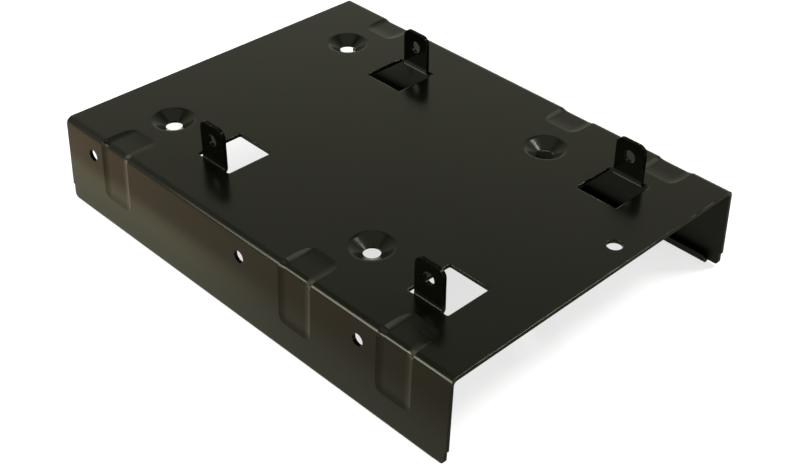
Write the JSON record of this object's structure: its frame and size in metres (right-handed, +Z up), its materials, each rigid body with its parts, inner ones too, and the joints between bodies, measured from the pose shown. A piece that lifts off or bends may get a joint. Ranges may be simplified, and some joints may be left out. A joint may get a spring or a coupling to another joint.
{
  "type": "drive bay adapter bracket",
  "caption": "Channel bracket folded from one steel sheet, with raised screw tabs, dished screw holes and hemmed side walls, that carries a small disk drive in a larger drive bay.",
  "frame": {"origin": "midway between the side walls and between the ends, level with the undersides of the hems the bracket stands on", "axes": "+Z up through the plate, +Y along the channel from the front end to the back, +X across it"},
  "size_m": [0.1036, 0.1416, 0.0362],
  "materials": {
    "sheet": "satin black paint"
  },
  "bodies": {
    "root": {"bracket": "sheet"}
  },
  "joints": []
}
